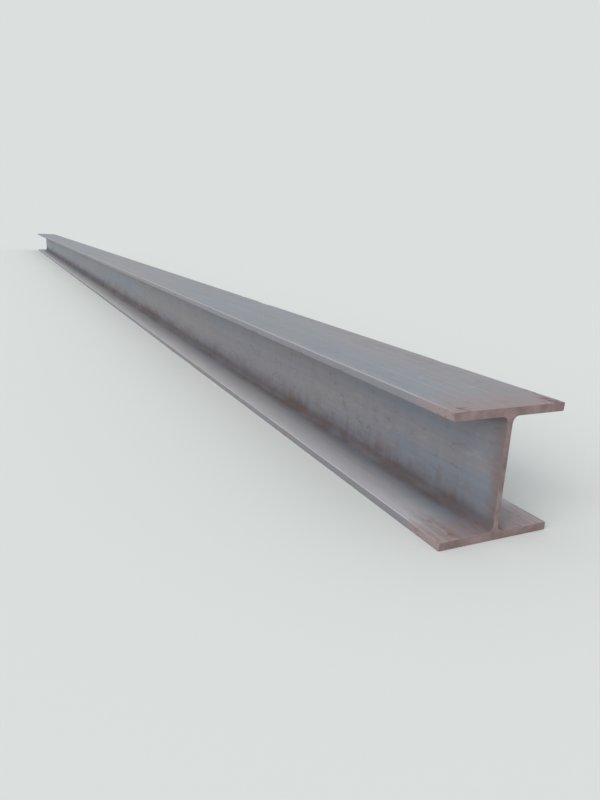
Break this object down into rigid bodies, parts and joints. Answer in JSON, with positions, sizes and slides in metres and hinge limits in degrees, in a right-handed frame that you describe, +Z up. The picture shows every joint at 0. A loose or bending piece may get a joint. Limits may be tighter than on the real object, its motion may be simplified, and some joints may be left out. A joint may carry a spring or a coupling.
{
  "type": "steel i-beam",
  "caption": "Hot-rolled wide-flange steel beam in a plain sawn stock length: parallel flanges joined by a web with root fillets, bare mill scale with light rust.",
  "frame": {"origin": "middle of the underside of the lower flange, at half the beam's length", "axes": "+X along the beam, +Z up from the lower flange to the upper one, +Y across the flanges, with the web in the XZ plane"},
  "size_m": [6, 0.15, 0.15],
  "materials": {
    "hot_rolled_steel": "bare hot-rolled mill scale with light rust and sawn ends"
  },
  "bodies": {
    "root": {"i_beam": "hot_rolled_steel"}
  },
  "joints": []
}
